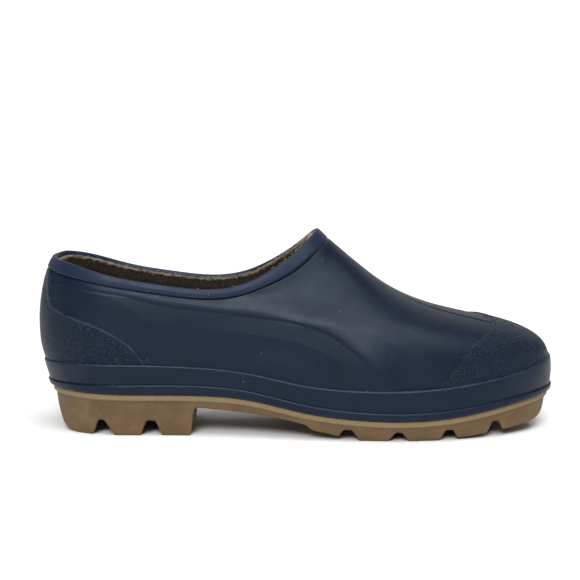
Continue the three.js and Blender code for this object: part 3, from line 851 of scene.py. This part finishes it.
def upper_shell(material):
    crowded = np.linspace(CREASE_S - CREASE_REACH, CREASE_S + CREASE_REACH, 40)
    rest = np.linspace(0, 1, 521)[:-1]
    rest = rest[np.abs(rest - CREASE_S) > CREASE_REACH + 0.001]
    s = np.sort(np.concatenate([rest, crowded]))
    fox, band = foxing_level(s), band_level(s)
    share = np.concatenate([np.linspace(-0.06, 0.9, 66), np.linspace(0.9, 1.02, 22)[1:]])
    rows = [above_sole(s, GAP), welt_level(s)]
    rows += [mix(fox, band, k) for k in share]
    rows += [mix(band, 1, k) for k in (0.35, 0.7, 1)]
    t = np.stack(rows)
    s_grid = np.broadcast_to(s, t.shape)
    p = surface(s_grid, t)
    line = crease_line(p[..., 0])
    deep = ease(p[..., 0], 50, 84) * (p[..., 2] > 50)
    crease = -0.5 * bump(p[..., 1], line, 0.75) + 0.15 * bump(p[..., 1], line + 2.4, 1.5)
    crest = np.interp(p[..., 0], *zip(*VAMP_CREST))
    ridge = 1.15 * bump(p[..., 0], 31, 18) * ease(p[..., 2] - crest, -14, -2)
    out = deep * crease + 0.05 * lattice_noise(p, 16, 5) + shoulder(p) + ridge
    out -= band_groove(under_band(s_grid, t))
    outside = off_surface(s_grid, t, out)
    inside = [off_surface(s, t_edge, RIM_CORE) for t_edge in (np.ones_like(s), drop_level(s, COLLAR_TUCK))]
    below_rim = drop_level(s, 2 * COLLAR_TUCK)
    for k in np.linspace(1, 0, 12):
        inside.append(off_surface(s, mix(welt_level(s), below_rim, k), -UPPER_WALL))
    floor = GAP + UPPER_WALL
    for out, height in ((-UPPER_WALL, floor), (-LASTING_MARGIN, floor), (-LASTING_MARGIN, GAP)):
        inside.append(plan_point(s, out, height))
    return ring_piece("upper_shell_rubber", [*outside, *inside], material)


def collar_band(material):
    s = np.linspace(0, 1, 681)[:-1]
    band, edge = band_level(s), np.ones_like(s)
    flatter = 1 - 0.45 * ease(surface(s, band)[..., 0], 8, 17)
    section = []
    for out, climb in ((0.1, 0.15), (0.9, 0.0), (1.3, 0.12), (1.48, 0.42)):
        section.append(off_surface(s, band, out * flatter, climb))
    for k in np.linspace(0.2, 0.8, 7):
        swell = COLLAR_OUTER + 0.1 * math.sin(math.pi * k)
        section.append(off_surface(s, mix(band, edge, k), swell * mix(flatter, 1, k)))
    for out, climb in (
        (COLLAR_OUTER, -0.6), (1.48, 0.1), (1.36, 0.65), (1.1, 1.05), (0.7, 1.35), (0.25, 1.5),
        (-0.25, 1.48), (-0.75, 1.3), (-1.2, 0.9), (-1.5, 0.35), (COLLAR_INNER, -0.3),
    ):
        section.append(off_surface(s, edge, out, climb))
    tucked = drop_level(s, COLLAR_TUCK)
    core = RIM_CORE - 0.1
    ends = ((tucked, COLLAR_INNER, 0), (tucked, core, 0), (edge, core, 0.1), (edge, 0.1, 0.1))
    section += [off_surface(s, level, out, climb) for level, out, climb in ends]
    return ring_piece("collar_binding", section, material)


BORDER = 1.2  # the middle of the raised border, inside an overlay's edge
OVERLAY_MARGIN = 0.9  # how far past its edge an overlay runs on, sunk in the upper


def overlay(name, s, low, high, rows, inside_of, height_of, material):
    """A raised piece of the upper, between two levels, whose edge dips under the upper's face."""
    share = np.linspace(0, 1, rows)[:, None]
    t = mix(low[None], high[None], share)
    s_grid = np.broadcast_to(s, t.shape)
    p = surface(s_grid, t)
    inside = inside_of(p)
    top = p[..., 2] - surface(s, band_level(s))[..., 2][None]
    out = height_of(p, inside)
    out = np.minimum(out, mix(-0.5, OVERLAY_HEIGHT, ease(-top, 0.0, 1.1)))
    outer = off_surface(s_grid, t, out)
    inner = off_surface(s_grid, t, OVERLAY_ROOT - 0.5)
    marks = inside > -OVERLAY_MARGIN
    keep = marks[:-1, :-1] & marks[1:, :-1] & marks[1:, 1:] & marks[:-1, 1:]
    # the mask along the raised border is for a painted highlight
    attributes = {"inside": inside, "rise": p[..., 2], "edge_painted_highlight": bump(inside, BORDER, 0.5)}
    return slab_piece(name, outer, inner, keep, material, attributes)


def step_up(inside, height, width):
    """A rounded step from under the upper's face to height, width wide."""
    k = np.clip((inside + 0.35) / width, 0, 1)
    return mix(OVERLAY_ROOT, height, np.sin(k * math.pi / 2) ** 0.8)


CAP_GRID_HEIGHT = 76  # the cap's grid stops at this height, or at this level where that is lower
CAP_GRID_LEVEL = 0.44


def toe_cap(material):
    s = np.linspace(0.318, 0.682, 400)
    low = foxing_level(s, -OVERLAY_TUCK)
    tip = np.minimum(level_of(s, lambda x, inner: 0 * x + CAP_GRID_HEIGHT), CAP_GRID_LEVEL)

    def height(p, inside):
        grain = leather(p, unit(np.array([0.9, 0.1, 0.42])), 1.6, 11)
        strength = 0.2 * (1 - 0.6 * ease(p[..., 0], 112, 138)) * ease(inside, 0.5, 2.5)
        border = 0.12 * bump(inside, BORDER, 0.7)
        return step_up(inside, OVERLAY_HEIGHT - 0.1, 1.5) + border + strength * grain

    return overlay("toe_cap_rubber", s, low, tip, 96, cap_inside, height, material)


def heel_counter(material):
    s = np.linspace(-0.176, 0.176, 380)
    low, high = foxing_level(s, -OVERLAY_TUCK), band_level(s, 0.8)

    def height(p, inside):
        grain = leather(p, unit(np.array([0.8, 0, -0.6])), 1.5, 23)
        strength = 0.08 * ease(inside, 2.6, 5)
        border = 0.75 * bump(inside, BORDER, 0.6)
        return step_up(inside, OVERLAY_HEIGHT - 0.2, 1.0) + border + strength * grain

    return overlay("heel_counter_rubber", s, low, high, 100, counter_inside, height, material)


def side_panel(name, side, material):
    s = np.linspace(0.035, 0.345, 300)
    s = s if side < 0 else 1 - s[::-1]
    low, high = foxing_level(s, -OVERLAY_TUCK), band_level(s, 0.4)

    def inside_of(p):
        return np.minimum(panel_inside(p), OVERLAY_MARGIN - counter_inside(p))

    def height(p, inside):
        depth = panel_inside(p)
        low_part = np.maximum(ease(depth, 2, 22), ease(counter_inside(p), -30, -2))
        face = mix(SHOULDER + 0.1, 0.7, low_part)
        panel = mix(OVERLAY_ROOT, face, np.sin(np.clip((depth + 0.8) / 2.6, 0, 1) * math.pi / 2) ** 0.7)
        ridge = 0.1 * bump(depth, 1.5, 0.9) * (1 - ease(p[..., 0], -70, -20))
        return panel + ridge + 0.03 * lattice_noise(p, 12, 31)

    return overlay(name, s, low, high, 84, inside_of, height, material)


def strip_piece(name, low, high, section, material):
    """A band round the shoe between two levels; section gives (share of its height, out) pairs."""
    s = np.linspace(0, 1, 721)[:-1]
    t_low, t_high = low(s), high(s)
    loops = [off_level(s, mix(t_low, t_high, k), out) for k, out in section]
    where = np.stack(loops)
    ends = ease(-where[..., 0], 96, 138) + ease(where[..., 0], 108, 140)
    # the mask on the section's top edge is for a painted highlight
    top = [float(k > 0.93 and out > 1) for k, out in section]
    edge_painted_highlight = np.broadcast_to(np.array(top)[:, None], ends.shape)
    return ring_piece(name, loops, material, {"ends": ends, "edge_painted_highlight": edge_painted_highlight})


def rounded_top(share, depth, out, radius, count):
    """The last points up a strip's section, round its upper edge."""
    angles = np.linspace(0, math.pi / 2, count)
    return [(share - depth * (1 - math.sin(a)), out - radius * (1 - math.cos(a))) for a in angles]


def foxing(material):
    section = [(-0.03, 0.1), (-0.03, FOXING_OUT - 0.12), (-0.015, FOXING_OUT)]
    for k in np.linspace(0.05, 0.88, 9):
        section.append((k, FOXING_OUT + 0.1 * math.sin(math.pi * k)))
    section += [*rounded_top(1, 0.09, FOXING_OUT, FOXING_ROUND, 8), (1.0, 0.6), (0.99, 0.1)]
    return strip_piece("foxing_rubber", lambda s: welt_level(s, GAP), foxing_level, section, material)


def welt(material):
    section = [(0, 0.1), (0, 2.3), (0.03, 2.7), (0.09, 3.0), (0.18, 3.16), (0.3, WELT_OUT)]
    section += [*rounded_top(1.06, 0.26, WELT_OUT, WELT_ROUND, 9), (1.06, 0.1)]
    return strip_piece("welt_bead", lambda s: above_sole(s, GAP), welt_level, section, material)


# ---------- the lining and the footbed ----------


def at_throat(x):
    return ease(x, -30, 4)


def lining(material):
    s = np.linspace(0, 1, 481)[:-1]
    low = above_sole(s, 2 * GAP + UPPER_WALL)
    bend = drop_level(s, LINING_BEND)
    rim = surface(s, np.ones_like(s))
    wear_and_painted_highlight = 0.5 * lattice_noise(rim, 1.8, 45) + 0.3 * lattice_noise(rim, 5, 46)
    high = drop_level(s, LINING_DROP + wear_and_painted_highlight)
    rise = LINING_RISE * at_throat(rim[..., 0])
    outer_face, inner_face = LINING_FACES
    loops, below = [], []

    def add_loop(t, out, fluffy):
        p = surface(s, t)
        depth = surface(s, high)[..., 2] - p[..., 2]
        flare = LINING_FLARE * (1 - ease(depth, 0, LINING_BEND))
        fluff = 0.22 * lattice_noise(p, 2.4, 41) + 0.25 * lattice_noise(p, 7, 43)
        out = out + flare + fluffy * fluff * ease(depth, 0, 2)
        loops.append(off_surface(s, t, out, rise * (1 - ease(depth, 0, 3))))
        below.append(depth)

    for k in np.linspace(0, 1, 12):
        add_loop(mix(low, bend, k), outer_face, 0)
    for k in np.linspace(0, 1, 5)[1:]:
        add_loop(mix(bend, high, k), outer_face, 0)
    for k in np.linspace(1, 0, 12):
        add_loop(mix(bend, high, k), inner_face, 1)
    for k in np.linspace(1, 0, 52)[1:]:
        add_loop(mix(low, bend, k), inner_face, 1)
    where = np.stack(loops)
    throat = ease(where[..., 0], -4, 12) * ease(where[..., 2], 84, 100)
    attributes = {"below_edge": np.stack(below), "throat": throat}
    return ring_piece("lining_textile", loops, material, attributes)


YARN_COUNT = 2600
YARN_SIDES = 3


def frayed_edge(material):
    """Loose yarn ends along the lining's cut edge, each a thin prism that bends and tapers."""
    random = np.random.default_rng(7)

    def spread(low, high):
        return random.uniform(low, high, (YARN_COUNT, 1))

    s = spread(0, 1)[:, 0]
    t = drop_level(s, LINING_DROP + spread(-0.35, 0.5)[:, 0])
    normal, up = frame_at(s, t)
    along = unit(np.cross(up, normal))
    start = surface(s, t)
    near_throat = at_throat(start[:, :1])
    root = start + normal * spread(-2.9, -1.9) + up * (LINING_RISE * near_throat)
    lean = up * spread(-0.5, 1.0) + along * random.normal(0, 1.2, (YARN_COUNT, 1))
    lean = unit(lean - normal * spread(0.1, 0.7))
    length = spread(0.6, 1.6) + 1.6 * spread(0, 1) ** 6
    length = length * (1 + 0.5 * near_throat)
    thick = spread(0.08, 0.19)
    side = unit(np.cross(lean, normal))
    other = np.cross(lean, side)
    points = []
    for k, taper in ((0, 1), (0.5, 0.9), (1, 0.35)):
        middle = root + lean * (length * k) - normal * (0.35 * k * k * length)
        for turn in range(YARN_SIDES):
            a = 2 * math.pi * turn / YARN_SIDES
            rim = side * math.cos(a) + other * math.sin(a)
            points.append(middle + rim * (thick * taper))
    one = []
    for level in (0, YARN_SIDES):
        for turn in range(YARN_SIDES):
            a, b = level + turn, level + (turn + 1) % YARN_SIDES
            one += [(a, b, b + YARN_SIDES), (a, b + YARN_SIDES, a + YARN_SIDES)]
    one += [(2, 1, 0), (6, 7, 8)]  # the two ends
    first = len(points) * np.arange(YARN_COUNT)[:, None, None]
    faces = (np.array(one)[None] + first).reshape(-1, 3)
    return add_mesh("lining_yarn_ends", np.stack(points, 1).reshape(-1, 3), faces, material)


def footbed(material):
    s = half_ring(stations(181))

    def loop(inset, height):
        p = plan_point(s, -FOOTBED_INSET - inset, height)
        limit = mix(FOOTBED_HEEL_HALF_WIDTH, 80, ease(p[:, 0], -45, 60)) - inset
        p[:, 1] = np.clip(p[:, 1], -limit, limit)
        return p

    loops = [loop(0.8, FOOTBED_LOW)]
    for angle in np.linspace(-60, 90, 9):
        a = math.radians(angle)
        height = mix(FOOTBED_LOW, FOOTBED_HIGH, 0.55) + FOOTBED_EDGE_ROUND * math.sin(a)
        loops.append(loop(0.9 * (1 - math.cos(a)), height))

    def across(outer, inner):
        return np.broadcast_to(FOOTBED_COLUMNS, (len(outer), len(FOOTBED_COLUMNS)))

    def top(p):
        dish = 0.9 * np.sin(math.pi * FOOTBED_COLUMNS) ** 0.6 * ease(-p[..., 0], -60, 30)
        return sole_line(p[..., 0]) + FOOTBED_HIGH - 0.15 - dish + 0.12 * lattice_noise(p, 3, 51)

    def bottom(p):
        return sole_line(p[..., 0]) + FOOTBED_LOW

    return add_mesh("footbed_felt", *block(loops, across, top, bottom), material)


# ---------- the outsole ----------

# Each notch's middle, its widths at the ground and at the roof, its top, and how far its roof leans back.
NOTCHES = [
    {"x": -106, "mouth": 12, "roof": 3.6, "top": 8.6, "lean": -1.4},
    {"x": -79.5, "mouth": 11.5, "roof": 5.4, "top": 8.5},
    {"x": 29.4, "mouth": 13.2, "roof": 4.4, "top": 6.1},
    {"x": 57.2, "mouth": 11.6, "roof": 3.2, "top": 5.0},
    {"x": 85.1, "mouth": 10.4, "roof": 4.4, "top": 5.8},
    {"x": 111.4, "mouth": 12, "roof": 3.4, "top": 9.2},
]
# The underside in side view, (x, z), behind the heel, between heel and forepart, and under the toe.
HEEL_TAIL = [(-160, 60), (-135.6, 17), (-132.8, 9), (-130.2, 3.2), (-127, 0.9), (-122, 0)]
WAIST_GAP = [
    (-57, 0), (-56.2, 14.4), (-54.5, 16.1), (-25, 13.7), (-3, 10.3), (6.5, 8), (9.5, 5.2), (24, 2.4),
    (36.5, 0),
]
TOE_SPRING = [
    (66, 0), (80, 0.4), (97, 1.5), (106, 2.5), (118, 4), (128, 5.3), (135, 6.4), (138.5, 7.6), (141, 10.2),
    (143, 15.5), (150, 18),
]
TREAD_STEP = 0.05
CORNER_LENGTHS = (3.75, 2.35)  # lengths over which the lugs' corners are rounded, at heel and forepart


def tread_profile():
    """Height of the tread's underside along x, with rounded corners."""
    x = np.arange(-170, 170, TREAD_STEP)
    z = np.zeros_like(x)
    for outline in (HEEL_TAIL, WAIST_GAP, TOE_SPRING):
        z = np.maximum(z, np.interp(x, *zip(*outline)))
    for n in NOTCHES:
        px = n["x"] + np.array([-n["mouth"], -n["roof"], n["roof"], n["mouth"]]) / 2
        px[1:3] += n.get("lean", 0)
        z = np.maximum(z, np.interp(x, px, [0, n["top"], n["top"], 0]))
    rounded_off = []
    for length in CORNER_LENGTHS:
        window = np.hanning(round(length / TREAD_STEP))
        rounded_off.append(np.convolve(z, window / window.sum(), "same"))
    return lambda v: np.interp(v, x, mix(*rounded_off, ease(x, -60, -20)))


tread = tread_profile()


WALL_RISES = (0, 0.08, 0.3, 0.7, 1.3)  # loops up the side, first above the tread and then by share
WALL_SHARES = (0.15, 0.35, 0.55, 0.75, 0.9, 1)
# The lip's section: how far each point is back from its outer edge, and its height from the sole's edge.
LIP_SECTION = [
    (0.9, -SOLE_LIP - 0.3), (0.3, -SOLE_LIP), (0.05, -SOLE_LIP + 0.3), (0, -SOLE_LIP + 0.7), (0, -1.2),
    (0, -0.6), (0.15, -0.25), (0.5, 0), (2.7, 0),
]


def outsole(material):
    places = [stations(241)]
    for n in NOTCHES:
        reach = n["mouth"] / 2 + 1.6
        places.append(np.arange(n["x"] - reach, n["x"] + reach, 0.42))
    places += [np.arange(-59, -52, 0.2), np.arange(4, 12, 0.6)]  # the corners of the waist's gap
    pocket = (HEEL_CORE["rear"] - GAP, HEEL_CORE["front"] + GAP)
    for wall in pocket:
        places.append(np.array([wall - 0.01, wall + 0.01]))
    x = np.sort(np.concatenate(places))
    x = x[np.concatenate([[True], np.diff(x) > 0.015])]
    s = half_ring(x)

    def wall_loop(rise, share):
        """Up the side: rise above the tread, or a share of the way from there to the lip."""
        out = np.full(s.shape, SOLE_SIDE - 1.0)
        for _ in range(4):
            p = plan_point(s, out, -SOLE_LIP - SOLE_LIP_SLOPE)
            under, over = tread(p[:, 0]), p[:, 2]
            z = mix(under + rise, over, share)
            corner = np.clip(1 - (z - under) / SOLE_CORNER, 0, 1)
            draft = mix(SOLE_DRAFT, TOE_DRAFT, ease(p[:, 0], 85, 135))
            out = SOLE_SIDE - draft * np.clip(1 - z / over, 0, 1)
            out -= SOLE_CORNER * (1 - np.sqrt(1 - corner**2))
        p[:, 2] = z
        return p

    loops = [wall_loop(rise, 0) for rise in WALL_RISES]
    loops += [wall_loop(WALL_RISES[-1], share) for share in WALL_SHARES]
    lip_start = len(loops) * len(s)
    loops += [plan_point(s, SOLE_OVERHANG - back, height) for back, height in LIP_SECTION]
    lip_end = len(loops) * len(s)

    half_width = HEEL_CORE["half_width"] + GAP
    columns = np.array([-half_width - 0.01, -half_width + 0.01, 0, half_width - 0.01, half_width + 0.01])

    def across(outer, inner):
        """Shares at which the pocket's walls stand, squeezed where the sole is narrower than it."""
        wide = np.minimum(1, 0.7 * np.minimum(-outer, inner) / half_width).clip(0.001)
        outer, inner = outer[:, None], inner[:, None]
        y = columns[None] * wide[:, None]
        y = np.concatenate([mix(outer, y[:, :1], 0.5), y, mix(inner, y[:, -1:], 0.5)], 1)
        return np.clip((y - outer) / np.maximum(inner - outer, 1e-6), 0.001, 0.999)

    def top(p):
        hole = (p[..., 0] > pocket[0]) & (p[..., 0] < pocket[1]) & (np.abs(p[..., 1]) < half_width)
        return np.where(hole, HEEL_CORE["bottom"] - GAP, sole_line(p[..., 0]))

    points, faces = block(loops, across, top, lambda p: tread(p[..., 0]))
    lip = np.zeros(len(points))
    lip[lip_start:lip_end] = 1
    return add_mesh("outsole_rubber", points, faces, material, {"lip": lip})


# ---------- assembly ----------


def place(piece, node, slot):
    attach(piece, "shoe")
    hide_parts(node)
    return piece


smooth_navy = navy_rubber("navy_rubber_smooth")
# the binding's paler navy is a painted highlight
binding_navy = navy_rubber("navy_rubber_binding", lighter=0.45)
# the counter and the foxing get a painted highlight along their raised edges
grained_navy = navy_rubber("navy_rubber_grained", grain_angle=35, edge_painted_highlight=0.55)
cap_navy = navy_rubber("navy_rubber_cap", grain_angle=-25, hairline=True)
streaked_navy = navy_rubber("navy_rubber_streaked", streaks=0.22, edge_painted_highlight=0.3)

for piece, node in (
    (upper_shell(smooth_navy), "upper_shell"),
    (collar_band(binding_navy), "collar_band"),
    (toe_cap(cap_navy), "toe_cap"),
    (heel_counter(grained_navy), "heel_counter"),
    (side_panel("side_panel_outer_rubber", -1, smooth_navy), "side_panel_outer"),
    (side_panel("side_panel_inner_rubber", 1, smooth_navy), "side_panel_inner"),
    (foxing(streaked_navy), "foxing_band"),
    (welt(smooth_navy), "welt_strip"),
):
    place(piece, node, "navy_rubber")
place(outsole(tan_rubber("tan_rubber")), "outsole", "tan_rubber")

textile = place(lining(fleece("lining_fleece")), "lining", "textile_lining")
yarn = frayed_edge(thread("lining_thread"))
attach(yarn, "shoe")

insole = footbed(felt("footbed_felt"))
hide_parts("footbed_front", "footbed_heel")


def in_frame(x, y, z):
    return tuple(((np.array([x, y, z]) + SHIFT) * MM).tolist())


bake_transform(insole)

# Boards inside the shoe: the material's name, its dark and light grains, their size and their height.
BOARDS = {
    "heel_core": ("cork", (96, 70, 46), (166, 128, 88), 1.6, 0.4),
    "sole_filler": ("cork_sheet", (104, 78, 52), (172, 134, 94), 1.2, 0.3),
    "insole_board": ("fibreboard", (132, 104, 72), (172, 142, 104), 0.7, 0.1),
    "toe_puff": ("toe_puff_board", (140, 116, 84), (178, 150, 112), 0.6, 0.1),
    "heel_stiffener": ("stiffener_board", (128, 102, 70), (168, 138, 100), 0.6, 0.1),
}
finishes = {node: board(*values) for node, values in BOARDS.items()}
finishes["shank"] = spring_steel("shank_steel")
for node, finish in finishes.items():
    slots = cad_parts[node].data.materials
    slots.clear()
    slots.append(finish)


# ---------- camera, light and floor ----------

CAMERA_PLACE = (-2.24, -901.6, 188.4)
CAMERA_PITCH = 7  # degrees down
LENS = 98.9
SENSOR = 36
FLOOR_HALF = 12  # metres
FLOOR_GREY = (0.93, 0.93, 0.93, 1)
# elevation, azimuth, spread and strength
LIGHTS = {
    "soft_light_above": (68, 26, 50, 2.2),
    "soft_light_front": (34, -8, 22, 2.2),
    "soft_light_heel": (35, -130, 60, 0.25),
    "soft_light_back": (30, 175, 60, 0.35),
}


def add_camera():
    data = bpy.data.cameras.new("camera")
    data.lens = LENS
    data.sensor_width = SENSOR
    camera = add_object("camera", data)
    camera.location = in_frame(*CAMERA_PLACE)
    camera.rotation_euler = (math.radians(90 - CAMERA_PITCH), 0, 0)
    bpy.context.scene.camera = camera


def add_soft_light(name, elevation, azimuth, spread, strength):
    """A far, wide light: elevation above the floor, azimuth from the camera's side towards the toe."""
    data = bpy.data.lights.new(name, "SUN")
    data.angle = math.radians(spread)
    data.energy = strength
    light = add_object(name, data)
    light.rotation_euler = (math.radians(90 - elevation), 0, math.radians(azimuth))


def add_floor():
    paper = Nodes(bpy.data.materials.new("floor_paper"))
    paper.finish({"Base Color": FLOOR_GREY, "Roughness": 1.0, "Specular IOR Level": 0.0})
    mesh = bpy.data.meshes.new("floor")
    corners = [(x * FLOOR_HALF, y * FLOOR_HALF, 0) for x, y in ((-1, -1), (1, -1), (1, 1), (-1, 1))]
    mesh.from_pydata(corners, [], [(0, 1, 2, 3)])
    mesh.materials.append(paper.owner)
    add_object("floor", mesh)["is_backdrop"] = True


def add_world(backdrop, ambient):
    """A white backdrop, with dimmer ambient light."""
    sky = Nodes(bpy.data.worlds.new("studio"))
    seen = sky.node("LightPath").outputs["Is Camera Ray"]
    strength = sky.span(seen, 0, 1, ambient, backdrop)
    bpy.context.scene.world = sky.finish({"Color": (1, 1, 1, 1), "Strength": strength}, "Background")


add_camera()
add_floor()
add_world(1.05, 0.2)
for name, values in LIGHTS.items():
    add_soft_light(name, *values)
bpy.context.scene.view_settings.view_transform = "Standard"

boxes = {"cad": cad_box, "visual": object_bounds()}
{k: [list(map(float, corner)) for corner in v] for k, v in boxes.items()}
